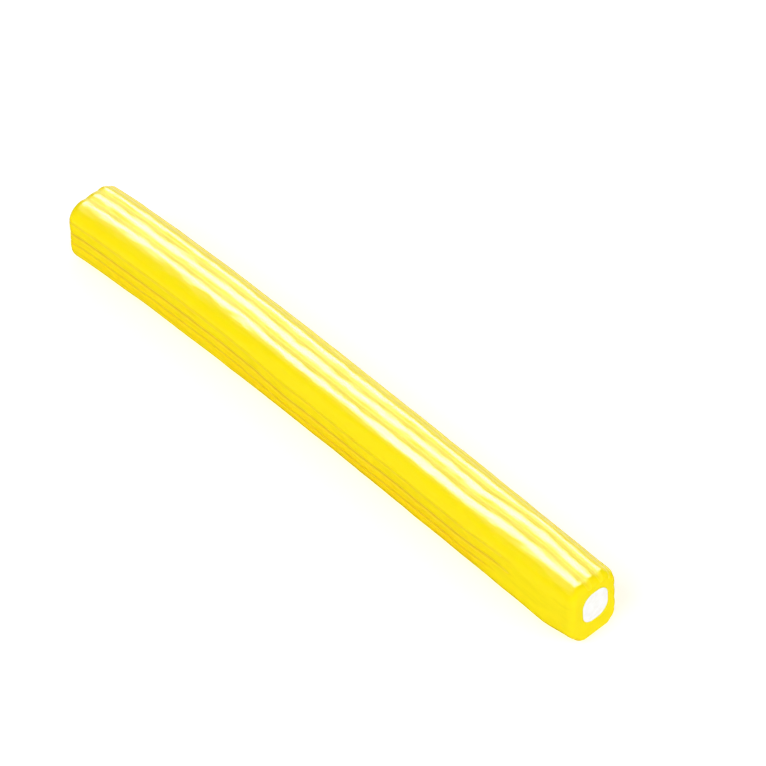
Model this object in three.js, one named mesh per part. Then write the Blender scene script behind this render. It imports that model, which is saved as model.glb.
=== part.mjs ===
// A gummy stick: a glossy yellow jelly jacket with ridges along it, round a white fondant filling that shows
// at both cut ends. Millimetres, +Z up. +X runs along the stick, and the origin lies under its middle, on
// the surface that it rests on. The front of the stick faces -Y.
import * as THREE from "three";

// The whole stick
const STICK_LENGTH = 145.6; // from cut face to cut face, along the axis
const BODY_WIDTH = 13.2;
const BODY_HEIGHT = 15.3;
const CORNER_RADIUS = 4.3; // of the rounded square that the section is pressed into
const UNDERSIDE_PRESS = 0.35; // depth that its own weight has flattened along the underside
const BOW_SIZE = 1.6; // how far the stick bows towards the back
const BOW_PLACE = 0.38; // where the bow is widest, as a share of the length from the far end

// The ridges, which are what is left between the grooves
const RIDGE_COUNT = 17;
const GROOVE_DEPTH = 0.34;
const GROOVE_FADE = 9; // length over which a groove runs out where it doesn't reach the end
const RIDGE_LEFT_AT_FACE = 0.35; // share of the relief that the knife leaves at the cut face

// One entry for each groove, from the middle of the underside up the back, over the top and down the front.
// depth is a share of GROOVE_DEPTH. shift and reach, to each side, are shares of the ridge pitch. until is
// where a groove runs out, as a share of the length.
const GROOVES = [
  { depth: 0.6, shift: 0 },
  { depth: 0.7, shift: 0.06 },
  { depth: 0.9, shift: -0.08 },
  { depth: 1.0, shift: 0.05 },
  { depth: 0.8, shift: -0.04 },
  { depth: 0.95, shift: 0.08 },
  { depth: 0.85, shift: -0.02 },
  { depth: 0.87, shift: -0.2 },
  { depth: 1.05, shift: -0.16 },
  { depth: 1.15, shift: -0.1 },
  { depth: 0.05, shift: 0.13 }, // the shoulder between top and front is pressed nearly smooth
  { depth: 0.22, shift: 0.42, until: 0.91, reach: 0.16 },
  { depth: 1.0, shift: 0.5, until: 0.9, reach: 0.24 }, // the sharp crease along the front
  { depth: 0.55, shift: 0.36, until: 0.87, reach: 0.24 },
  { depth: 0.3, shift: 0.12, until: 0.86, reach: 0.4 },
  { depth: 0.8, shift: 0.04 },
  { depth: 0.6, shift: 0 },
];

// The ridges wander together round the section, towards the front where size is above 0. start and end are
// shares of the length.
const WANDERS = [
  { size: 0.57, start: 0.3, end: 0.42 },
  { size: -0.38, start: 0.55, end: 0.68 },
  { size: -1.0, start: 0.78, end: 0.87 },
  { size: 0.55, start: 0.9, end: 1 },
];
// Those of the front also wander on their own. FRONT holds the shares of the way round the section between
// which that comes in and goes out again.
const FRONT_WANDER = { size: 0.55, start: 0.36, end: 0.44 };
const FRONT = { start: 0.56, full: 0.66, last: 0.86, end: 0.98 };

// The shoulder between top and front is fuller along the middle of the stick.
const SWELL_SIZE = 0.5;
const SWELL_PLACE = 30.1; // how far round the section it lies
const SWELL_SPREAD = 1.6;
const SWELL_START = 0.38; // share of the length
const SWELL_END = 0.82;
const SWELL_FADE = 0.06;

// The cut ends. The knife leans, and drags the top of each cut face round more than the bottom.
const CUT_LEAN = 0.05; // how far a face leans towards the far end, per millimetre of height
const SHOULDER_LENGTH = 1.8; // rounding between the skin and a cut face, along the stick
const SHOULDER_DROP_TOP = 1.8; // how far the rounding draws the skin in at the top
const SHOULDER_DROP_BOTTOM = 1.1;
const FAR_DROOP = 0.35; // how far the top of the far end is pressed down
const FAR_DROOP_LENGTH = 9;
const NEAR_SQUEEZE = 0.9; // how far the lower front of the near end is pressed in
const NEAR_SQUEEZE_LENGTH = 9;
const NEAR_SQUEEZE_WAY = new THREE.Vector2(0.84, 0.54); // towards the back and up, of unit length

// The filling
const FILLING_WIDTH = 6.8;
const FILLING_HEIGHT = 7.5;
const FILLING_RADIUS = 2.8; // of its corners
const FILLING_OFF_CENTRE = new THREE.Vector2(0.38, 1.1); // towards the back, and up
const FILLING_GAP = 0.3; // between the filling and the jacket's bore

// How finely the surfaces are divided
const POINTS_PER_RIDGE = 4;
const BODY_STEPS = 34;
const SHOULDER_STEPS = 4;
const FILLING_STEPS = 12;
const FILLING_CORNER_STEPS = 6;

const AROUND = RIDGE_COUNT * POINTS_PER_RIDGE;
const HALF_LENGTH = STICK_LENGTH / 2;
const CENTRE_HEIGHT = (BODY_HEIGHT - UNDERSIDE_PRESS) / 2;

const { clamp, lerp, smoothstep } = THREE.MathUtils;

// A rounded rectangle round the axis, from the middle of its lower side up its +Y side.
function roundedRectangle(width, height, radius) {
  const flat = width / 2 - radius,
    upright = height / 2 - radius,
    quarter = Math.PI / 2;
  return new THREE.Shape()
    .moveTo(0, -height / 2)
    .lineTo(flat, -height / 2)
    .absarc(flat, -upright, radius, -quarter, 0)
    .lineTo(width / 2, upright)
    .absarc(flat, upright, radius, 0, quarter)
    .lineTo(-flat, height / 2)
    .absarc(-flat, upright, radius, quarter, 2 * quarter)
    .lineTo(-width / 2, -upright)
    .absarc(-flat, -upright, radius, 2 * quarter, 3 * quarter)
    .lineTo(0, -height / 2);
}

// The point at a share of the way round a path, and the outward normal there.
function pointRound(path, share) {
  const turn = share - Math.floor(share),
    tangent = path.getTangentAt(turn);
  return { point: path.getPointAt(turn), normal: new THREE.Vector2(tangent.y, -tangent.x) };
}

// A place along the stick as a share of its length, from the far end.
const shareAlong = (x) => clamp(x / STICK_LENGTH + 0.5, 0, 1);

// How far the axis has moved towards the back.
const bowAt = (x) => BOW_SIZE * Math.sin(Math.PI * shareAlong(x) ** (Math.log(0.5) / Math.log(BOW_PLACE)));

// How much of a change between two shares of the length has come about at x.
const partDone = ({ size, start, end }, x) => size * smoothstep(shareAlong(x), start, end);

// How far a ridge has moved round the section, in millimetres. around is its share of the way round.
function wanderAt(x, around) {
  const front = smoothstep(around, FRONT.start, FRONT.full) * (1 - smoothstep(around, FRONT.last, FRONT.end));
  return WANDERS.reduce((sum, wander) => sum + partDone(wander, x), front * partDone(FRONT_WANDER, x));
}

// How far the skin stands out at x, at a distance round the section.
function swellAt(x, distance) {
  const along = shareAlong(x),
    rise = smoothstep(along, SWELL_START - SWELL_FADE, SWELL_START + SWELL_FADE),
    fall = smoothstep(along, SWELL_END - SWELL_FADE, SWELL_END + SWELL_FADE);
  return SWELL_SIZE * rise * (1 - fall) * Math.exp(-(((distance - SWELL_PLACE) / SWELL_SPREAD) ** 2));
}

// How deep a groove is at x, away from its bottom by a share of the ridge pitch. A ridge's crest is a
// parabola, so each groove is a shallow V.
function grooveDepth({ depth, until = 1, reach = 0.5 }, x, away) {
  const runOut = (until - 0.5) * STICK_LENGTH,
    left = until < 1 ? 1 - smoothstep(x, runOut - GROOVE_FADE, runOut) : 1;
  return depth * left * GROOVE_DEPTH * Math.max(0, 1 - away / reach) ** 2;
}

// The axis at x: where the middle of a section lies.
const axisAt = (x) => new THREE.Vector2(bowAt(x), CENTRE_HEIGHT);

// A section's point at x, in the stick's frame. Its plane leans as the knife did.
const place = (x, { x: y, y: z }) => new THREE.Vector3(x - CUT_LEAN * (z - CENTRE_HEIGHT), y, z);

// One ring of points round the jacket at x. rounding is how far the shoulder has drawn it in, from 0 to 1,
// and relief is the share of the ridges' depth that is there.
function jacketRing(x, rounding, relief) {
  const section = roundedRectangle(BODY_WIDTH, BODY_HEIGHT + UNDERSIDE_PRESS, CORNER_RADIUS),
    outline = section.getLength(),
    droop = FAR_DROOP * (1 - smoothstep(x, -HALF_LENGTH, -HALF_LENGTH + FAR_DROOP_LENGTH)),
    squeeze = NEAR_SQUEEZE * smoothstep(x, HALF_LENGTH - NEAR_SQUEEZE_LENGTH, HALF_LENGTH);
  return Array.from({ length: AROUND }, (_, i) => {
    const ridge = Math.floor(i / POINTS_PER_RIDGE),
      across = (i % POINTS_PER_RIDGE) / POINTS_PER_RIDGE,
      [low, high] = [GROOVES[ridge], GROOVES[(ridge + 1) % RIDGE_COUNT]],
      around = (ridge + across) / RIDGE_COUNT,
      shift = lerp(low.shift, high.shift, across) / RIDGE_COUNT,
      share = around + shift + wanderAt(x, around) / outline,
      { point, normal } = pointRound(section, share),
      rise = clamp(point.y / BODY_HEIGHT + 0.5, 0, 1),
      sunk = grooveDepth(low, x, across) + grooveDepth(high, x, 1 - across),
      stoodOut = swellAt(x, (share - Math.floor(share)) * outline),
      drawnIn = rounding * lerp(SHOULDER_DROP_BOTTOM, SHOULDER_DROP_TOP, rise),
      squeezed = squeeze * Math.max(0, -normal.dot(NEAR_SQUEEZE_WAY)) ** 2;
    point.addScaledVector(normal, stoodOut - sunk * relief - drawnIn - squeezed).add(axisAt(x));
    point.y = Math.max(point.y - droop * rise, rounding * SHOULDER_DROP_BOTTOM);
    return place(x, point);
  });
}

// A ring of points round the bore at x.
function boreRing(x) {
  const [width, height] = [FILLING_WIDTH, FILLING_HEIGHT].map((size) => size + 2 * FILLING_GAP),
    path = roundedRectangle(width, height, FILLING_RADIUS + FILLING_GAP),
    middle = axisAt(x).add(FILLING_OFF_CENTRE);
  return Array.from({ length: AROUND }, (_, i) => place(x, pointRound(path, i / AROUND).point.add(middle)));
}

// Evenly spaced places from one end to the other, both ends included.
const places = (from, to, steps) => Array.from({ length: steps + 1 }, (_, i) => lerp(from, to, i / steps));

// A closed surface that joins each ring of points to the next, and the last to the first.
function skin(rings) {
  const faces = [];
  for (let r = 0; r < rings.length; r++)
    for (let i = 0; i < AROUND; i++) {
      const next = (i + 1) % AROUND,
        here = r * AROUND,
        there = ((r + 1) % rings.length) * AROUND;
      faces.push(here + i, here + next, there + next, here + i, there + next, there + i);
    }
  const geometry = new THREE.BufferGeometry().setFromPoints(rings.flat()).setIndex(faces);
  geometry.computeVertexNormals();
  return geometry;
}

// The jacket: out along the ridged skin, over the shoulder of each cut face, and back through the bore.
function jacketGeometry() {
  const straight = HALF_LENGTH - SHOULDER_LENGTH,
    shoulder = places(0, Math.PI / 2, SHOULDER_STEPS).map((turn) => ({
      reach: straight + SHOULDER_LENGTH * Math.sin(turn),
      rounding: 1 - Math.cos(turn),
      relief: lerp(RIDGE_LEFT_AT_FACE, 1, Math.cos(turn)),
    }));
  return skin([
    ...shoulder.toReversed().map(({ reach, rounding, relief }) => jacketRing(-reach, rounding, relief)),
    ...places(-straight, straight, BODY_STEPS).slice(1, -1).map((x) => jacketRing(x, 0, 1)),
    ...shoulder.map(({ reach, rounding, relief }) => jacketRing(reach, rounding, relief)),
    ...places(HALF_LENGTH, -HALF_LENGTH, FILLING_STEPS).map(boreRing),
  ]);
}

// The filling: a straight bar of its section, laid along the bowed axis.
function fillingGeometry() {
  const section = roundedRectangle(FILLING_WIDTH, FILLING_HEIGHT, FILLING_RADIUS),
    geometry = new THREE.ExtrudeGeometry(section, {
      depth: STICK_LENGTH,
      steps: FILLING_STEPS,
      curveSegments: FILLING_CORNER_STEPS,
      bevelEnabled: false,
    }),
    points = geometry.getAttribute("position");
  for (let i = 0; i < points.count; i++) {
    const x = points.getZ(i) - HALF_LENGTH,
      point = new THREE.Vector2(points.getX(i), points.getY(i)).add(FILLING_OFF_CENTRE).add(axisAt(x));
    points.setXYZ(i, ...place(x, point));
  }
  geometry.computeVertexNormals();
  return geometry;
}

const jelly = new THREE.MeshStandardMaterial({ color: 0xfcec1e, roughness: 0.22, metalness: 0 });
const fondant = new THREE.MeshStandardMaterial({ color: 0xfbfaf6, roughness: 0.7, metalness: 0 });

const jacket = new THREE.Mesh(jacketGeometry(), jelly);
jacket.name = "jacket";

const filling = new THREE.Mesh(fillingGeometry(), fondant);
filling.name = "filling";

// The bow and the lean move the stick off centre, so it is set back with the middle of its box over the
// origin.
const stick = new THREE.Group().add(jacket, filling);
const middle = new THREE.Box3().setFromObject(stick).getCenter(new THREE.Vector3());
stick.position.set(-middle.x, -middle.y, 0);

export default stick;
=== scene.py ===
"""A filled gummy stick: a glossy yellow jelly jacket with ridges along it, round a white fondant filling.

Metres, +Z up. +X runs along the stick towards its near end, and its front faces -Y. The jacket and the
filling are made by Geometry Nodes, in millimetres inside their trees, from the sizes of the solids that
they stand for.
"""

import logging
import math
from dataclasses import dataclass, field
from enum import Enum
from typing import Any

import bpy
from mathutils import Matrix, Vector


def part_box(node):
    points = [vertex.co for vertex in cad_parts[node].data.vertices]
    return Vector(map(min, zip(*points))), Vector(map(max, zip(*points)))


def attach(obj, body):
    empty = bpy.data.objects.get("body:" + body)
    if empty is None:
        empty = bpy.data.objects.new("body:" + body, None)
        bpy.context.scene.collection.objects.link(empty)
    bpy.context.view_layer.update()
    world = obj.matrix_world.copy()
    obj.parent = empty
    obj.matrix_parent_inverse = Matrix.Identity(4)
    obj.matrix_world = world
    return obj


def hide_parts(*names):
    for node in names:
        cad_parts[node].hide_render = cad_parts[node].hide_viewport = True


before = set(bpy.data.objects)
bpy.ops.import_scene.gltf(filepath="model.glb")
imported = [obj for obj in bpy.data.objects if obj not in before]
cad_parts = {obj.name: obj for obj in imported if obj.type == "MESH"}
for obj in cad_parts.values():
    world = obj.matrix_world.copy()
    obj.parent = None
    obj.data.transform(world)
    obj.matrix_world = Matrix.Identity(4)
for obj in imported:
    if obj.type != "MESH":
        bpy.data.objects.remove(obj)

MM = 0.001  # metres in a millimetre
BODY = "root"
QUARTER_TURN = math.pi / 2

log = logging.getLogger("gummy_stick")


# ---------------------------------------------------------------- expressions on node sockets


class Value:
    """A socket that takes part in Python expressions: each operator adds a Math node to its tree."""

    def __init__(self, board: "Board", socket: bpy.types.NodeSocket) -> None:
        """Wraps an output socket of a node on the board."""
        self.board = board
        self.socket = socket

    def __add__(self, other: "Term") -> "Value":
        """The sum of both."""
        return self.board.math("ADD", self, other)

    def __radd__(self, other: "Term") -> "Value":
        """The sum of both."""
        return self.board.math("ADD", other, self)

    def __sub__(self, other: "Term") -> "Value":
        """This less the other."""
        return self.board.math("SUBTRACT", self, other)

    def __rsub__(self, other: "Term") -> "Value":
        """The other less this."""
        return self.board.math("SUBTRACT", other, self)

    def __mul__(self, other: "Term") -> "Value":
        """The product of both."""
        return self.board.math("MULTIPLY", self, other)

    def __rmul__(self, other: "Term") -> "Value":
        """The product of both."""
        return self.board.math("MULTIPLY", other, self)

    def __truediv__(self, other: "Term") -> "Value":
        """This over the other."""
        return self.board.math("DIVIDE", self, other)

    def __pow__(self, power: "Term") -> "Value":
        """This raised to a power."""
        return self.board.math("POWER", self, power)

    def __neg__(self) -> "Value":
        """This with its sign turned."""
        return self.board.math("MULTIPLY", self, -1.0)


Term = Value | float


class Board:
    """A node tree, of a material or of a geometry modifier, and the ways in which nodes are added to it."""

    def __init__(self, tree: bpy.types.NodeTree) -> None:
        """Starts with an empty tree."""
        self.tree = tree
        tree.nodes.clear()

    def add(
        self,
        kind: str,
        settings: dict[str, Any] | None = None,
        inputs: dict[int | str, Any] | None = None,
    ) -> bpy.types.Node:
        """Adds one node.

        Args:
            kind: the node's type.
            settings: its properties, which are set first.
            inputs: a value or a link for each socket, by index, identifier or name.

        Returns:
            The node.
        """
        node = self.tree.nodes.new(kind)
        for name, setting in (settings or {}).items():
            setattr(node, name, setting)
        for key, term in (inputs or {}).items():
            socket = self.pick(node.inputs, key)
            if isinstance(term, Value):
                self.tree.links.new(term.socket, socket)
            else:
                socket.default_value = term
        return node

    @staticmethod
    def pick(sockets: bpy.types.bpy_prop_collection, key: int | str) -> bpy.types.NodeSocket:
        """Finds a socket.

        Args:
            sockets: a node's inputs or outputs.
            key: its index, its identifier or its name.

        Returns:
            The first socket in use that fits.
        """
        if isinstance(key, int):
            return sockets[key]
        return next(s for s in sockets if s.enabled and key in (s.identifier, s.name))

    def get(
        self,
        kind: str,
        settings: dict[str, Any] | None = None,
        inputs: dict[int | str, Any] | None = None,
        output: int | str = 0,
    ) -> Value:
        """Adds one node, as add does, and gives one of its outputs.

        Args:
            kind: the node's type.
            settings: its properties.
            inputs: a value or a link for each socket.
            output: the output's index, identifier or name.

        Returns:
            The output as a value for expressions.
        """
        return Value(self, self.pick(self.add(kind, settings, inputs).outputs, output))

    def math(self, operation: str, *terms: Term) -> Value:
        """Adds a Math node.

        Args:
            operation: what it works out.
            terms: its one to three operands.

        Returns:
            The result.
        """
        return self.get("ShaderNodeMath", {"operation": operation}, dict(enumerate(terms)))

    def most(self, one: Term, other: Term) -> Value:
        """The larger of two."""
        return self.math("MAXIMUM", one, other)

    def clamp(self, term: Term, low: Term = 0.0, high: Term = 1.0) -> Value:
        """The term, kept between two bounds."""
        return self.get("ShaderNodeClamp", None, {"Value": term, "Min": low, "Max": high})

    def smooth(self, term: Term, start: Term, end: Term) -> Value:
        """A smooth rise from 0 at start to 1 at end."""
        ends = {"Value": term, "From Min": start, "From Max": end}
        return self.get("ShaderNodeMapRange", {"interpolation_type": "SMOOTHSTEP"}, ends)

    def blend(self, share: Term, first: Term, last: Term) -> Value:
        """A straight change from first to last as share goes from 0 to 1."""
        return first + share * (last - first)

    def vector(self, x: Term, y: Term, z: Term) -> Value:
        """A vector of three terms."""
        return self.get("ShaderNodeCombineXYZ", None, {0: x, 1: y, 2: z})

    def split(self, vector: Value) -> tuple[Value, Value, Value]:
        """The three parts of a vector."""
        node = self.add("ShaderNodeSeparateXYZ", None, {0: vector})
        return tuple(Value(self, socket) for socket in node.outputs)

    def noise(self, at: Value, seed: float, detail: float = 2.0, roughness: float = 0.5) -> Value:
        """Adds smooth noise.

        Args:
            at: where it is read, in units of its own grain.
            seed: the number that sets its pattern.
            detail: how many finer layers it has.
            roughness: how strong the finer layers are.

        Returns:
            The noise, from 0 to 1, about 0.5 in the mean.
        """
        terms = {"Vector": at, "W": seed, "Scale": 1.0, "Detail": detail, "Roughness": roughness}
        return self.get("ShaderNodeTexNoise", {"noise_dimensions": "4D"}, terms)

    def mix_colours(self, share: Term, first: Any, last: Any) -> Value:
        """Goes from one colour to another.

        Args:
            share: 0 for the first, 1 for the last.
            first: a colour, or a value that holds one.
            last: a colour, or a value that holds one.

        Returns:
            The mixed colour.
        """
        terms = {"Factor_Float": share, "A_Color": first, "B_Color": last}
        return self.get("ShaderNodeMix", {"data_type": "RGBA"}, terms, "Result_Color")

    def attribute(self, name: str, output: str = "Fac") -> Value:
        """A field that the geometry keeps on its points."""
        return self.get("ShaderNodeAttribute", {"attribute_name": name}, None, output)

    def grain(self, *sizes: float) -> Value:
        """Where a point of the piece is, in units of a pattern's grain.

        Args:
            sizes: the grain's size along X, Y and Z in millimetres, or one size for all three.

        Returns:
            The place, for a noise to be read at.
        """
        place = self.split(self.get("ShaderNodeTexCoord", None, None, "Object"))
        x, y, z = sizes if len(sizes) == len(place) else sizes * len(place)
        return self.vector(place[0] / (x * MM), place[1] / (y * MM), place[2] / (z * MM))

    def bump(self, relief: Term) -> Value:
        """A normal that is tilted by a relief in millimetres."""
        return self.get("ShaderNodeBump", None, {"Strength": 1.0, "Distance": MM, "Height": relief})

    def surface(self, terms: dict[str, Any]) -> None:
        """Ends a material's tree with a Principled BSDF.

        Args:
            terms: a value or a link for each of its sockets, by name.
        """
        shader = self.get("ShaderNodeBsdfPrincipled", None, terms)
        self.add("ShaderNodeOutputMaterial", None, {"Surface": shader})


def new_material(name: str) -> tuple[bpy.types.Material, Board]:
    """Makes an empty material.

    Args:
        name: the material's name.

    Returns:
        The material, and the board of its tree.
    """
    material = bpy.data.materials.new(name)
    material.use_nodes = True
    return material, Board(material.node_tree)


# ---------------------------------------------------------------- the stick's sizes


@dataclass(frozen=True)
class Groove:
    """A groove along the skin.

    depth is a share of the full depth. shift, and reach to each side, are shares of the ridge pitch. until
    is the share of the length where the groove runs out. The other two are painted shade: how much deeper
    the jelly's yellow is painted round the groove, and how dark its bottom is painted.
    """

    depth: float
    shift: float = 0.0
    until: float = 1.0
    # painted shade: how much deeper the yellow is painted round the groove
    stain: float = 0.0
    reach: float = 0.5
    # painted shade: how dark the yellow is painted along the groove's bottom
    line: float = 0.0


@dataclass(frozen=True)
class Drift:
    """A sideways move of the ridges, in millimetres, that builds up between two shares of the length.

    whole says whether all ridges move or only those of the front.
    """

    size: float
    start: float
    end: float
    whole: bool = True


@dataclass(frozen=True)
class Swell:
    """A ridge that is fuller along a stretch of the stick.

    size and spread are in millimetres, arc is how far round the section it lies, and start and end are
    shares of the length, where it has come to half its size within fade.
    """

    size: float
    arc: float
    spread: float
    start: float
    end: float
    fade: float = 0.06


# From the middle of the underside up the back, over the top and down the front.
# Their deeper yellow round the grooves and their dark lines in the creases are painted shade.
GROOVES = (
    Groove(0.6, stain=0.5),
    Groove(0.7, 0.06, stain=0.4),
    Groove(0.9, -0.08, stain=0.3),
    Groove(1.0, 0.05, stain=0.2),
    Groove(0.8, -0.04),
    Groove(0.95, 0.08),
    Groove(0.85, -0.02),
    Groove(0.87, -0.2),
    Groove(1.05, -0.16),
    Groove(1.15, -0.1),
    Groove(0.05, 0.13),  # the shoulder between top and front is pressed nearly smooth
    Groove(0.22, 0.42, until=0.91, reach=0.16, line=0.35),
    Groove(1.0, 0.5, until=0.9, stain=0.3, reach=0.24, line=0.9),  # the deep crease along the front
    Groove(0.55, 0.36, until=0.87, stain=0.65, reach=0.24, line=0.6),
    Groove(0.3, 0.12, until=0.86, stain=0.6, reach=0.4),
    Groove(0.8, 0.04, stain=0.5),
    Groove(0.6, stain=0.5),
)


@dataclass(frozen=True)
class Stick:
    """The stick's driving sizes in millimetres."""

    length: float = 145.6
    width: float = 13.2
    height: float = 15.3
    corner_radius: float = 4.3
    underside_press: float = 0.35
    bow: float = 1.6
    bow_place: float = 0.38  # where the bow is widest, as a share of the length
    cut_lean: float = 0.05  # how far a face leans, per millimetre of height
    filling_width: float = 6.8
    filling_height: float = 7.5
    filling_radius: float = 2.8
    filling_off_centre: tuple[float, float] = (0.38, 1.1)

    @property
    def half(self) -> float:
        """Half the length."""
        return self.length / 2

    @property
    def centre_height(self) -> float:
        """How high the axis lies."""
        return (self.height - self.underside_press) / 2


STICK = Stick()


class Form:
    """A Geometry Nodes tree that rolls a flat grid of points into a closed skin.

    The grid's X goes round the skin and its Y goes along it, in rows.
    """

    def __init__(self, name: str, columns: int, rows: int) -> None:
        """Starts a tree with a grid.

        Args:
            name: the tree's name.
            columns: how many steps go round.
            rows: how many steps go along.
        """
        self.tree = bpy.data.node_groups.new(name, "GeometryNodeTree")
        self.tree.is_modifier = True
        self.board = Board(self.tree)
        self.tree.interface.new_socket("Skin", in_out="OUTPUT", socket_type="NodeSocketGeometry")
        self.settings: dict[str, Any] = {}
        self.entry = self.board.add("NodeGroupInput")
        size = {"Size X": 1.0, "Size Y": 1.0, "Vertices X": columns + 1, "Vertices Y": rows + 1}
        self.geometry = self.board.get("GeometryNodeMeshGrid", None, size, "Mesh")
        x, y, _ = self.board.split(self.board.get("GeometryNodeInputPosition"))
        self.around = x + 0.5
        self.row = (y + 0.5) * rows

    def size(self, name: str, setting: Any, kind: str = "NodeSocketFloat") -> Value:
        """Adds a named input to the tree.

        Args:
            name: the input's name.
            setting: what the modifier sets it to.
            kind: the type of its socket.

        Returns:
            The input as a value.
        """
        socket = self.tree.interface.new_socket(name, in_out="INPUT", socket_type=kind)
        self.settings[socket.identifier] = setting
        return Value(self.board, self.board.pick(self.entry.outputs, socket.identifier))

    def walk(self, start: int, count: int) -> Value:
        """How much of a run of rows has been passed: 0 before it, 1 after it."""
        return self.board.clamp((self.row - start) / count)

    def keep(self, name: str, term: Value, data_type: str = "FLOAT") -> None:
        """Stores a field on the points, for the finish to read."""
        inputs = {"Geometry": self.geometry, "Name": name, "Value": term}
        settings = {"data_type": data_type, "domain": "POINT"}
        self.geometry = self.board.get("GeometryNodeStoreNamedAttribute", settings, inputs)

    def section(
        self, arc: Value, width: Term, height: Term, radius: Term
    ) -> tuple[Value, Value, Value, Value]:
        """A point on a rounded rectangle, from the middle of its lower side up its +Y side.

        Args:
            arc: how far round the outline the point is.
            width: the rectangle's size along Y.
            height: the rectangle's size along Z.
            radius: the radius of its corners.

        Returns:
            The point's Y and Z, and the outward normal's Y and Z.
        """
        board = self.board
        flat, upright, quarter = width / 2 - radius, height / 2 - radius, radius * QUARTER_TURN
        corner_1 = flat
        side_1 = corner_1 + quarter
        corner_2 = side_1 + 2 * upright
        top = corner_2 + quarter
        corner_3 = top + 2 * flat
        side_2 = corner_3 + quarter
        corner_4 = side_2 + 2 * upright
        bottom = corner_4 + quarter
        turned = -1.0
        for corner in (corner_1, corner_2, corner_3, corner_4):
            turned = turned + board.clamp((arc - corner) / quarter)
        angle = turned * QUARTER_TURN
        normal_y, normal_z = board.math("COSINE", angle), board.math("SINE", angle)
        y = board.clamp(arc, 0.0, flat) - board.clamp(arc - top, 0.0, 2 * flat)
        y = y + board.clamp(arc - bottom, 0.0, flat) + radius * normal_y
        z = board.clamp(arc - side_1, 0.0, 2 * upright) - board.clamp(arc - side_2, 0.0, 2 * upright)
        z = z - upright + radius * normal_z
        return y, z, normal_y, normal_z

    @staticmethod
    def perimeter(width: Term, height: Term, radius: Term) -> Term:
        """The length of a rounded rectangle's outline."""
        return 2 * (width + height) - (8 - 2 * math.pi) * radius

    def share_along(self, x: Value) -> Value:
        """How far along the stick x is, from 0 at the far end to 1 at the near end."""
        return self.board.clamp(x / STICK.length + 0.5)

    def bow(self, x: Value, size: Term) -> Value:
        """How far the axis has moved towards the back at x."""
        power = math.log(0.5) / math.log(STICK.bow_place)
        return size * self.board.math("SINE", math.pi * self.share_along(x) ** power)

    def place(self, x: Value, y: Value, z: Value, lean: Term) -> Value:
        """A section's point in the stick's frame, in metres: its plane leans as the knife did."""
        leaning = x - lean * (z - STICK.centre_height)
        return self.board.vector(leaning * MM, y * MM, z * MM)

    def roll_up(self, position: Value, finish: bpy.types.Material) -> None:
        """Moves the grid's points to their places, joins the seams and ends the tree.

        Args:
            position: where each point goes.
            finish: the material of the skin.
        """
        board = self.board
        moved = board.get("GeometryNodeSetPosition", None, {"Geometry": self.geometry, "Position": position})
        seam = self.size("Seam Width", STICK.length * MM / 1e5)
        joined = board.get("GeometryNodeMergeByDistance", None, {"Geometry": moved, "Distance": seam})
        smooth = board.get("GeometryNodeSetShadeSmooth", None, {"Geometry": joined})
        real = board.get("GeometryNodeRealizeInstances", None, {"Geometry": smooth})
        material = self.size("Finish", finish, "NodeSocketMaterial")
        dressed = board.get("GeometryNodeSetMaterial", None, {"Geometry": real, "Material": material})
        board.add("NodeGroupOutput", None, {0: dressed})

    def mesh(self, name: str) -> bpy.types.Mesh:
        """Runs the tree on an empty object.

        Args:
            name: the mesh's name.

        Returns:
            The plain mesh that comes out.
        """
        carrier = bpy.data.objects.new(name, bpy.data.meshes.new(name))
        bpy.context.scene.collection.objects.link(carrier)
        modifier = carrier.modifiers.new(self.tree.name, "NODES")
        modifier.node_group = self.tree
        for identifier, setting in self.settings.items():
            modifier[identifier] = setting
        evaluated = carrier.evaluated_get(bpy.context.evaluated_depsgraph_get())
        made = bpy.data.meshes.new_from_object(evaluated)
        bpy.data.meshes.remove(carrier.data)
        made.name = name
        return made


# ---------------------------------------------------------------- finishes

Colour = tuple[float, float, float, float]


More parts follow.
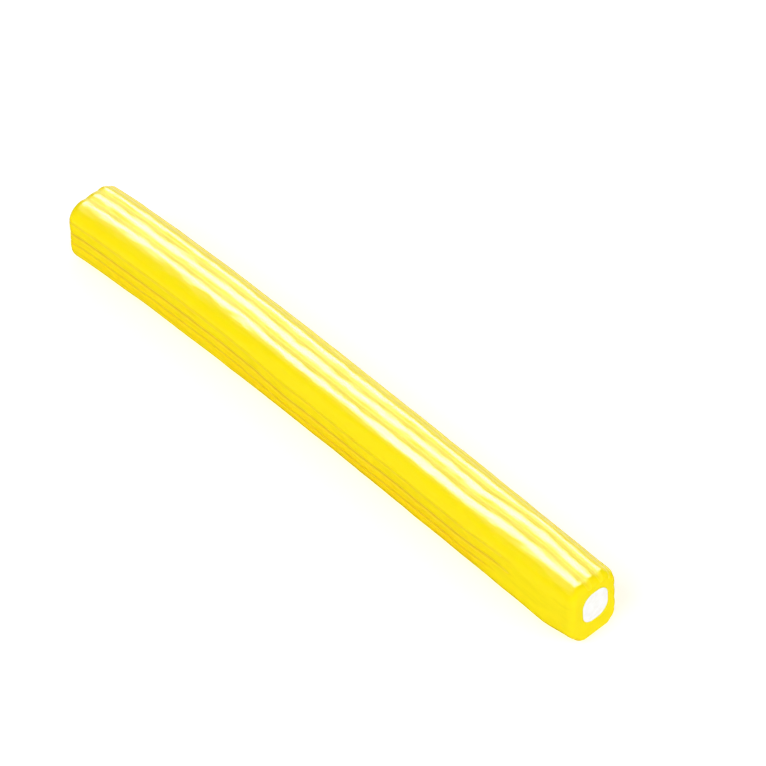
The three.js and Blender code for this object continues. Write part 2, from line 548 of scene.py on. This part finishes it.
@dataclass(frozen=True)
class JellyFinish:
    """Wet-looking, opaque lemon jelly: glossy, duller in the grooves, and with shade painted round them.

    Grains and depths are in millimetres. A grain is the size of a pattern's spots.
    """

    colour: Colour = (0.985, 0.79, 0.001, 1.0)
    deep_tone_and_shade_colour: Colour = (0.96, 0.635, 0.001, 1.0)  # painted shade round the grooves, and the deep end of the jelly's cloudy tone
    crease_shade_colour: Colour = (0.72, 0.47, 0.001, 1.0)  # painted shade at the bottom of the creases along the front
    roughness: float = 0.22
    dull_roughness: float = 0.58
    cut_roughness: float = 0.25
    roughness_spread: float = 0.08
    cloud_grain: float = 9.0
    cloud_strength: float = 0.3
    mark_grain: tuple[float, float] = (0.625, 20.0)  # of the fine marks along the skin, round and along
    mark_depth: float = 0.004
    peel_grain: float = 0.5
    peel_depth: float = 0.003
    dent_grain: tuple[float, float, float] = (5.0, 1.9, 1.9)  # the dents are longer along the stick
    dent_depth: float = 0.22
    knife_grain: tuple[float, float, float] = (1.0, 0.25, 4.0)  # its marks run down the cut face
    knife_depth: float = 0.03
    glow_depth: float = 1.0  # how far light soaks in
    glow_share: float = 0.25
    seed: float = 3.0

    def build(self) -> bpy.types.Material:
        """Makes the material.

        Returns:
            The material, which reads the skin's own fields.
        """
        material, board = new_material("lemon_jelly")
        around, along, _ = board.split(board.attribute("skin", "Vector"))
        cut = board.attribute("cut")

        cloud = board.noise(board.grain(self.cloud_grain), self.seed + 2, 1.0)
        # painted shade round the grooves, with a cloudy tone of the jelly's own over it
        depth = board.clamp(board.attribute("stain") + (cloud - 0.5) * self.cloud_strength)
        colour = board.mix_colours(depth, self.colour, self.deep_tone_and_shade_colour)
        # painted shade along the bottoms of the creases
        colour = board.mix_colours(board.attribute("line") * (1 - cut), colour, self.crease_shade_colour)

        mark_width, mark_length = self.mark_grain
        marks = board.noise(board.vector(around / mark_width, along / mark_length, 0.0), self.seed, 3.0)
        wet = self.roughness + (marks - 0.5) * self.roughness_spread
        skin_roughness = board.blend(board.attribute("dull"), wet, self.dull_roughness)

        peel = board.noise(board.grain(self.peel_grain), self.seed + 1, 2.0)
        dents = board.noise(board.grain(*self.dent_grain), self.seed + 4, 1.0)
        knife = board.noise(board.grain(*self.knife_grain), self.seed + 3, 3.0)
        skin_relief = marks * self.mark_depth + peel * self.peel_depth + dents * self.dent_depth
        board.surface(
            {
                "Base Color": colour,
                "Roughness": board.blend(cut, skin_roughness, self.cut_roughness),
                "Normal": board.bump(board.blend(cut, skin_relief, knife * self.knife_depth)),
                "IOR": 1.5,
                "Subsurface Weight": self.glow_share,
                "Subsurface Radius": (1.0, 0.6, 0.1),
                "Subsurface Scale": self.glow_depth * MM,
            }
        )
        return material


@dataclass(frozen=True)
class FondantFinish:
    """White fondant: matt, with fine sugar grain and small pores.

    Grains and depths are in millimetres.
    """

    colour: Colour = (0.91, 0.91, 0.895, 1.0)
    shade: Colour = (0.86, 0.85, 0.82, 1.0)
    shade_range: tuple[float, float] = (0.6, 0.9)  # of the pattern, from no shade to full shade
    roughness: float = 0.62
    roughness_spread: float = 0.2
    sugar_grain: float = 0.18
    sugar_depth: float = 0.03
    sugar_in_shade: float = 0.4  # its share in the pattern of the shade
    lump_grain: float = 1.4
    lump_depth: float = 0.08
    glow_depth: float = 0.6
    glow_share: float = 0.2
    seed: float = 11.0

    def build(self) -> bpy.types.Material:
        """Makes the material.

        Returns:
            The material.
        """
        material, board = new_material("white_fondant")
        sugar = board.noise(board.grain(self.sugar_grain), self.seed, 3.0, 0.6)
        lumps = board.noise(board.grain(self.lump_grain), self.seed + 1, 2.0)
        shaded = board.smooth(lumps + sugar * self.sugar_in_shade, *self.shade_range)
        board.surface(
            {
                "Base Color": board.mix_colours(shaded, self.colour, self.shade),
                "Roughness": self.roughness + (sugar - 0.5) * self.roughness_spread,
                "Normal": board.bump(sugar * self.sugar_depth + lumps * self.lump_depth),
                "Subsurface Weight": self.glow_share,
                "Subsurface Radius": (1.0, 0.9, 0.8),
                "Subsurface Scale": self.glow_depth * MM,
            }
        )
        return material


@dataclass(frozen=True)
class FloorFinish:
    """A plain white floor, matt and so bright that it burns out."""

    colour: Colour = (0.8, 0.8, 0.8, 1.0)
    roughness: float = 0.9
    glow_colour: Colour = (1.0, 1.0, 1.0, 1.0)
    glow: float = 0.42

    def build(self) -> bpy.types.Material:
        """Makes the material.

        Returns:
            The material.
        """
        material, board = new_material("white_floor")
        board.surface(
            {
                "Base Color": self.colour,
                "Roughness": self.roughness,
                "Specular IOR Level": 0.0,
                "Emission Color": self.glow_colour,
                "Emission Strength": self.glow,
            }
        )
        return material


# ---------------------------------------------------------------- the stick's two pieces


@dataclass
class Jacket:
    """The jelly jacket: the ridged skin, the rounded shoulders, both cut faces and the bore."""

    points_per_ridge: int = 16
    body_rows: int = 240
    shoulder_rows: int = 12
    face_rows: int = 6
    bore_rows: int = 4
    groove_depth: float = 0.34
    groove_softness: float = 0.02  # how blunt the bottom of a groove is, as a share of the pitch
    groove_fade: float = 9.0  # length over which a groove runs out where it doesn't reach the end
    ridge_left_at_face: float = 0.35  # share of the relief that the knife leaves
    dull_reach: float = 0.32  # how far the dull skin reaches out of a groove, as a share of the pitch
    # how far the painted shade line reaches out of a crease bottom, as a share of the pitch
    crease_shade_reach: float = 0.2
    # the painted shade round the grooves: its strength at the far end, and where it rises to full
    painted_shade_at_far_end: float = 0.55
    painted_shade_rise: tuple[float, float] = (0.1, 0.6)  # shares of the length
    cut_edge: tuple[float, float] = (0.93, 1.02)  # where the skin gives way to the cut, in shoulder lengths
    shoulder_length: float = 1.8
    shoulder_drop_top: float = 1.8
    shoulder_drop_bottom: float = 1.1
    far_droop: float = 0.35
    far_droop_length: float = 9.0
    near_squeeze: float = 0.9
    near_squeeze_length: float = 9.0
    near_squeeze_way: tuple[float, float] = (0.84, 0.54)
    bore_tuck: float = 0.05  # how far the bore reaches into the filling, so that no gap shows
    unevenness: float = 0.2
    uneven_round: float = 1.5  # radius of the circle that its noise is read on, in units of its grain
    uneven_length: float = 11.0  # its grain along the stick
    seed: float = 7.0
    drifts: tuple[Drift, ...] = (
        Drift(0.57, 0.3, 0.42),
        Drift(-0.38, 0.55, 0.68),
        Drift(-1.0, 0.78, 0.87),
        Drift(0.55, 0.9, 1.0),
        Drift(0.55, 0.36, 0.44, whole=False),
    )
    front: tuple[float, float, float, float] = (0.56, 0.66, 0.86, 0.98)  # shares of the way round
    swells: tuple[Swell, ...] = (Swell(0.5, 30.1, 1.6, 0.38, 0.82),)
    grooves: tuple[Groove, ...] = GROOVES

    def build(self, finish: bpy.types.Material) -> bpy.types.Mesh:
        """Makes the jacket's mesh.

        Args:
            finish: the jelly's material.

        Returns:
            The mesh, not yet set over the origin.
        """
        count = len(self.grooves)
        runs = (
            self.body_rows,
            self.shoulder_rows,
            self.face_rows,
            self.bore_rows,
            self.face_rows,
            self.shoulder_rows,
        )
        form = Form("ridged_skin", count * self.points_per_ridge, sum(runs))
        board = form.board
        starts = [sum(runs[:i]) for i in range(len(runs))]
        body, near_turn, near_face, bore, far_face, far_turn = map(form.walk, starts, runs)

        length = form.size("Length", STICK.length)
        shoulder = form.size("Shoulder Length", self.shoulder_length)
        straight = length / 2 - shoulder
        x = straight * (2 * body - 1) + shoulder * board.math("SINE", near_turn * QUARTER_TURN)
        x = x - length * bore + shoulder * (1 - board.math("COSINE", far_turn * QUARTER_TURN))
        inset = near_face - far_face

        past = board.clamp((board.math("ABSOLUTE", x) - straight) / shoulder)
        relief_left = board.math("SQRT", board.clamp(1 - past * past))
        rounding = 1 - relief_left
        y, z, arc = self.skin(form, x, rounding)
        bore_y, bore_z = self.bore(form)
        middle_y, middle_z = STICK.filling_off_centre
        y = board.blend(inset, y, bore_y + middle_y)
        z = board.blend(inset, z, bore_z + middle_z + STICK.centre_height)
        y = y + form.bow(x, form.size("Bow", STICK.bow))

        form.keep("skin", board.vector(arc, x, 0.0), "FLOAT_VECTOR")
        form.keep("cut", board.smooth(inset + past, *self.cut_edge))
        form.roll_up(form.place(x, y, z, form.size("Cut Lean", STICK.cut_lean)), finish)
        return form.mesh("jelly_jacket")

    def skin(self, form: Form, x: Value, rounding: Value) -> tuple[Value, Value, Value]:
        """The outer skin's section at x.

        Args:
            form: the tree that it is worked out in.
            x: the place along the axis.
            rounding: how far the shoulder has drawn the skin in, from 0 to 1.

        Returns:
            The skin's Y and Z before the bow, and how far round it is.
        """
        board = form.board
        width, radius = form.size("Width", STICK.width), form.size("Corner Radius", STICK.corner_radius)
        height = form.size("Height", STICK.height)
        tall = height + STICK.underside_press
        whole = form.perimeter(width, tall, radius)
        shift, sunk, stain, dull = self.relief(form, x)
        share = form.around + shift / len(self.grooves) + self.drift(form, x) / whole
        arc = board.math("FRACT", share) * whole
        y, z, normal_y, normal_z = form.section(arc, width, tall, radius)

        rise = board.clamp(z / height + 0.5)
        drawn_in = rounding * board.blend(rise, self.shoulder_drop_bottom, self.shoulder_drop_top)
        way_y, way_z = self.near_squeeze_way
        facing = board.most(0.0, -(normal_y * way_y + normal_z * way_z))
        half = STICK.half
        squeeze = board.smooth(x, half - self.near_squeeze_length, half)
        squeezed = form.size("Near Squeeze", self.near_squeeze) * squeeze * facing**2
        left = board.blend(1 - rounding, self.ridge_left_at_face, 1.0)
        inward = sunk * left + drawn_in + squeezed - self.uneven(form, x, arc) - self.swell(form, x, arc)
        y = y - normal_y * inward
        z = z - normal_z * inward + STICK.centre_height
        droop = 1 - board.smooth(x, -half, -half + self.far_droop_length)
        z = z - form.size("Far Droop", self.far_droop) * droop * rise
        # painted shade round the grooves, gone over the shoulders
        form.keep("stain", board.clamp(stain * (1 - rounding)))
        form.keep("dull", board.clamp(dull * (1 - rounding)))
        return y, board.most(z, rounding * self.shoulder_drop_bottom), arc

    def relief(self, form: Form, x: Value) -> tuple[Value, Value, Value, Value]:
        """The grooves at x.

        Args:
            form: the tree that they are worked out in.
            x: the place along the axis.

        Returns:
            How far the point moves round, as a share of the pitch, how deep it is sunk, how strong the
            painted shade round the grooves is and how dull the skin is.
        """
        board = form.board
        count = len(self.grooves)
        full_depth = form.size("Groove Depth", self.groove_depth)
        shift, sunk, stain, dull, line = 0.0, 0.0, 0.0, 0.0, 0.0
        for number, groove in enumerate(self.grooves):
            away = board.math("WRAP", form.around * count - number, count / 2, -count / 2)
            blunt = board.math("SQRT", away * away + self.groove_softness**2)
            near = board.most(0.0, 1 - board.math("ABSOLUTE", away))
            shift = shift + groove.shift * near
            depth = groove.depth * full_depth * board.most(0.0, 1 - blunt / groove.reach) ** 2
            run_out = (groove.until - 0.5) * STICK.length
            left = 1 - board.smooth(x, run_out - self.groove_fade, run_out) if groove.until < 1 else 1.0
            sunk = sunk + depth * left
            # painted shade round the groove
            stain = stain + groove.stain * near * left
            # a painted shade line along the groove's bottom
            line = line + groove.line * board.smooth(near, 1 - self.crease_shade_reach, 1.0) * left
            dullness = min(1.0, groove.depth) * (1 - groove.stain)
            dull = dull + dullness * board.smooth(near, 1 - self.dull_reach, 1.0) * left
        start, end = self.painted_shade_rise
        # the painted shade is weaker towards the far end
        stain = stain * board.blend(board.smooth(form.share_along(x), start, end), self.painted_shade_at_far_end, 1.0)
        form.keep("line", line)
        return shift, sunk, stain, dull

    def drift(self, form: Form, x: Value) -> Value:
        """How far the ridges have moved round the section at x, in millimetres."""
        board, along = form.board, form.share_along(x)
        start, full, last, end = self.front
        front = board.smooth(form.around, start, full) * (1 - board.smooth(form.around, last, end))
        moved = 0.0
        for drift in self.drifts:
            step = drift.size * board.smooth(along, drift.start, drift.end)
            moved = moved + (step if drift.whole else step * front)
        return moved

    def swell(self, form: Form, x: Value, arc: Value) -> Value:
        """How far the skin stands out along its fuller stretches."""
        board, along = form.board, form.share_along(x)
        height = 0.0
        for swell in self.swells:
            past = (arc - swell.arc) / swell.spread
            rise = board.smooth(along, swell.start - swell.fade, swell.start + swell.fade)
            fall = board.smooth(along, swell.end - swell.fade, swell.end + swell.fade)
            height = height + swell.size * rise * (1 - fall) * board.math("EXPONENT", -(past * past))
        return height

    def uneven(self, form: Form, x: Value, arc: Value) -> Value:
        """How far the skin swells at a point, from a slow noise along the stick."""
        board = form.board
        angle = arc * (2 * math.pi / form.perimeter(STICK.width, STICK.height, STICK.corner_radius))
        across, up = (board.math(way, angle) * self.uneven_round for way in ("COSINE", "SINE"))
        at = board.vector(across, up, x / self.uneven_length)
        wave = board.noise(at, form.size("Seed", self.seed), 2.0)
        return (wave - 0.5) * 2 * form.size("Unevenness", self.unevenness)

    def bore(self, form: Form) -> tuple[Value, Value]:
        """The bore's section.

        Args:
            form: the tree that it is worked out in.

        Returns:
            Its Y and Z round its own middle.
        """
        width = STICK.filling_width - 2 * self.bore_tuck
        height = STICK.filling_height - 2 * self.bore_tuck
        radius = STICK.filling_radius - self.bore_tuck
        arc = form.board.math("FRACT", form.around) * form.perimeter(width, height, radius)
        y, z, _, _ = form.section(arc, width, height, radius)
        return y, z


@dataclass
class Filling:
    """The fondant filling: a bar through the whole stick, slightly swollen at both cut ends."""

    columns: int = 96
    body_rows: int = 120
    cap_rows: int = 14
    swell: float = 0.16  # how far each end stands out of the cut face
    edge_power: float = 7.0  # how tightly the ends are rounded
    unevenness: float = 0.06
    uneven_grain: tuple[float, float] = (6.0, 2.0)  # of its swellings, along and across
    seed: float = 5.0

    def build(self, finish: bpy.types.Material) -> bpy.types.Mesh:
        """Makes the filling's mesh.

        Args:
            finish: the fondant's material.

        Returns:
            The mesh, not yet set over the origin.
        """
        rows = self.body_rows + 2 * self.cap_rows
        form = Form("bar_of_filling", self.columns, rows)
        board = form.board
        far_cap = 1 - form.walk(0, self.cap_rows)
        near_cap = form.walk(self.cap_rows + self.body_rows, self.cap_rows)
        body = form.walk(self.cap_rows, self.body_rows)
        reach = 1 - far_cap**2 - near_cap**2
        bulge = form.size("Swell", self.swell) * (1 - reach**self.edge_power)
        side = board.math("SIGN", near_cap - far_cap)
        x = form.size("Length", STICK.length) * (body - 0.5) + side * bulge

        width = form.size("Width", STICK.filling_width)
        height = form.size("Height", STICK.filling_height)
        radius = form.size("Corner Radius", STICK.filling_radius)
        arc = board.math("FRACT", form.around) * form.perimeter(width, height, radius)
        y, z, normal_y, normal_z = form.section(arc, width, height, radius)
        long, wide = self.uneven_grain
        at = board.vector(y / wide, z / wide, x / long)
        swollen = (board.noise(at, form.size("Seed", self.seed), 2.0) - 0.5) * self.unevenness
        middle_y, middle_z = STICK.filling_off_centre
        y = (y + normal_y * swollen) * reach + middle_y + form.bow(x, form.size("Bow", STICK.bow))
        z = (z + normal_z * swollen) * reach + middle_z + STICK.centre_height
        form.roll_up(form.place(x, y, z, form.size("Cut Lean", STICK.cut_lean)), finish)
        return form.mesh("fondant_filling")


@dataclass
class GummyStick:
    """The whole stick, set with the middle of its box over the origin."""

    jacket: Jacket = field(default_factory=Jacket)
    filling: Filling = field(default_factory=Filling)
    jelly: JellyFinish = field(default_factory=JellyFinish)
    fondant: FondantFinish = field(default_factory=FondantFinish)

    def build(self) -> list[bpy.types.Object]:
        """Makes both pieces.

        Returns:
            The jacket's object and the filling's.
        """
        skin = self.jacket.build(self.jelly.build())
        core = self.filling.build(self.fondant.build())
        set_back = self.set_back(skin)
        return [
            self.dress(skin, set_back, "jacket", "jelly"),
            self.dress(core, set_back, "filling", "fondant"),
        ]

    @staticmethod
    def set_back(skin: bpy.types.Mesh) -> Matrix:
        """The move that brings the middle of the jacket's box over the solid's.

        Args:
            skin: the jacket's mesh.

        Returns:
            The move along X and Y.
        """
        low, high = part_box("jacket")
        middle = (low + high) / 2
        for axis in range(2):
            places = [vertex.co[axis] for vertex in skin.vertices]
            middle[axis] -= (min(places) + max(places)) / 2
        return Matrix.Translation((middle.x, middle.y, 0.0))

    @staticmethod
    def dress(mesh: bpy.types.Mesh, set_back: Matrix, node: str, slot: str) -> bpy.types.Object:
        """Puts a mesh in its place and ties it to the solid that it stands for.

        Args:
            mesh: the piece's mesh.
            set_back: the move to its place.
            node: the solid's name.
            slot: the name of the record's material slot, which is not used.

        Returns:
            The piece.
        """
        mesh.transform(set_back)
        piece = bpy.data.objects.new(mesh.name, mesh)
        bpy.context.scene.collection.objects.link(piece)
        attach(piece, BODY)
        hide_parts(node)
        log.info("%s: %d faces, stands for %s", piece.name, len(mesh.polygons), node)
        return piece


# ---------------------------------------------------------------- studio


ALONG, ACROSS = (1, 0, 0), (0, 1, 0)


class Seen(Enum):
    """Where a lamp is seen: by diffuse rays and by glossy rays."""

    IN_GLOSS = (False, True)
    IN_MATT = (True, False)


@dataclass(frozen=True)
class Softbox:
    """A rectangular lamp that faces the stick.

    way is the direction from the stick to the lamp, and side the direction of its width. Its distance, width
    and height are in metres. radiance is how bright the middle of its face is. layers gives the height and
    the radiance of each sheet that it is made of, as shares, so that its edges can be soft.
    """

    name: str
    way: tuple[float, float, float]
    side: tuple[float, float, float]
    distance: float
    width: float
    height: float
    radiance: float
    seen: Seen
    layers: tuple[tuple[float, float], ...] = ((1.0, 1.0),)
    layer_gap: float = 0.01  # between two layers, as a share of the distance

    def build(self, target: Vector) -> None:
        """Hangs the lamp.

        Args:
            target: the point that it faces.
        """
        back = Vector(self.way).normalized()
        across = (Vector(self.side) - back * back.dot(Vector(self.side))).normalized()
        turn = Matrix((across, back.cross(across), back)).transposed().to_4x4()
        for number, (size_share, radiance_share) in enumerate(self.layers):
            lamp = bpy.data.lights.new(f"{self.name}_{number}", "AREA")
            lamp.shape = "RECTANGLE"
            lamp.size, lamp.size_y = self.width, self.height * size_share
            lamp.energy = self.radiance * radiance_share * math.pi * lamp.size * lamp.size_y
            holder = bpy.data.objects.new(lamp.name, lamp)
            bpy.context.scene.collection.objects.link(holder)
            distance = self.distance * (1 - self.layer_gap * number)
            holder.matrix_world = Matrix.Translation(target + back * distance) @ turn
            holder.visible_diffuse, holder.visible_glossy = self.seen.value
            holder.visible_camera = False


@dataclass(frozen=True)
class PhotoCamera:
    """The photograph's viewpoint, for a picture of 766 by 766 pixels.

    azimuth and elevation are in degrees, distance in metres, and target_pixel is where the middle of the
    stick lies in the picture.
    """

    picture_side: int = 766
    azimuth: float = 46.345
    elevation: float = 48.0
    distance: float = 1.2
    pixels_per_mm: float = 5.003
    target_pixel: tuple[float, float] = (338.34, 407.18)
    target: tuple[float, float, float] = (0.0, 0.0, 0.007)
    sensor: float = 36.0

    def build(self) -> None:
        """Sets the camera up."""
        turn, rise = math.radians(self.azimuth), math.radians(self.elevation)
        away = Vector((math.sin(turn) * math.cos(rise), -math.cos(turn) * math.cos(rise), math.sin(rise)))
        level = Vector((0, 0, 1)).cross(away).normalized()
        middle = self.picture_side / 2
        aside = (middle - self.target_pixel[0]) / self.pixels_per_mm * MM
        above = (self.target_pixel[1] - middle) / self.pixels_per_mm * MM
        target = Vector(self.target)
        place = target + away * self.distance
        aim = target + level * aside + away.cross(level) * above
        back = (place - aim).normalized()
        right = (level - back * back.dot(level)).normalized()
        turned = Matrix((right, back.cross(right), back)).transposed().to_4x4()
        lens = bpy.data.cameras.new("camera")
        lens.sensor_width = self.sensor
        lens.lens = self.pixels_per_mm * self.distance / MM * self.sensor / self.picture_side
        lens.clip_start, lens.clip_end = self.distance / 100, self.distance * 100
        holder = bpy.data.objects.new("camera", lens)
        bpy.context.scene.collection.objects.link(holder)
        holder.matrix_world = Matrix.Translation(place) @ turned
        bpy.context.scene.camera = holder


LAMPS = (
    # It burns out the crests of the ridges, and its four sheets make the edges of the highlights soft.
    Softbox(
        "crest_light",
        way=(-0.484, 0.332, 0.81),
        side=ALONG,
        distance=0.8,
        width=0.45,
        height=0.76,
        radiance=18.7,
        seen=Seen.IN_GLOSS,
        layers=((1.0, 0.24), (0.74, 0.27), (0.53, 0.27), (0.29, 0.22)),
    ),
    # Faint sheens beside it, on the front shoulder and down the back.
    Softbox("shoulder_glow", (-0.484, -0.195, 0.853), ALONG, 0.8, 0.45, 0.45, 1.2, Seen.IN_GLOSS),
    Softbox("back_glow", (-0.484, 0.875, 0.03), ALONG, 0.8, 1.2, 1.0, 1.4, Seen.IN_GLOSS),
    # Even light for the yellow on every side.
    Softbox("front_light", (-0.1, -0.62, 0.62), ALONG, 1.2, 1.2, 0.9, 3.0, Seen.IN_MATT),
    Softbox("end_light", (0.75, 0.2, 0.45), ACROSS, 1.2, 1.2, 0.9, 2.5, Seen.IN_MATT),
    Softbox("back_light", (-0.35, 0.9, 0.22), ALONG, 1.2, 1.6, 0.5, 1.5, Seen.IN_MATT),
    Softbox("far_light", (-0.9, 0.1, 0.25), ACROSS, 1.2, 1.2, 0.5, 1.0, Seen.IN_MATT),
)


@dataclass
class Studio:
    """The floor, the light and the camera."""

    floor_side: float = 6.0
    floor_drop: float = 0.02 * MM  # the floor lies this far under the stick, so that no faces coincide
    sky: float = 0.22
    camera: PhotoCamera = field(default_factory=PhotoCamera)
    floor: FloorFinish = field(default_factory=FloorFinish)
    lamps: tuple[Softbox, ...] = LAMPS

    def build(self) -> None:
        """Sets the floor, the sky, the lamps and the camera up."""
        self.lay_floor()
        self.hang_sky()
        for lamp in self.lamps:
            lamp.build(Vector(self.camera.target))
        self.camera.build()
        bpy.context.scene.view_settings.view_transform = "Standard"

    def lay_floor(self) -> None:
        """Lays the floor, which glossy rays don't see."""
        half = self.floor_side / 2
        corners = [(-half, -half), (half, -half), (half, half), (-half, half)]
        mesh = bpy.data.meshes.new("floor")
        mesh.from_pydata([(x, y, -self.floor_drop) for x, y in corners], [], [(0, 1, 2, 3)])
        mesh.materials.append(self.floor.build())
        floor = bpy.data.objects.new("floor", mesh)
        bpy.context.scene.collection.objects.link(floor)
        floor.visible_glossy = False

    def hang_sky(self) -> None:
        """Lights everything evenly from all round, apart from the gloss."""
        sky = bpy.data.worlds.new("sky")
        sky.use_nodes = True
        board = Board(sky.node_tree)
        light = board.get("ShaderNodeBackground", None, {"Color": (1, 1, 1, 1), "Strength": self.sky})
        board.add("ShaderNodeOutputWorld", None, {"Surface": light})
        sky.cycles_visibility.glossy = False
        bpy.context.scene.world = sky


def main() -> None:
    """Builds the stick and the studio."""
    logging.basicConfig(level=logging.INFO, format="%(name)s: %(message)s")
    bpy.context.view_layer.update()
    GummyStick().build()
    Studio().build()


if __name__ == "__main__":
    main()
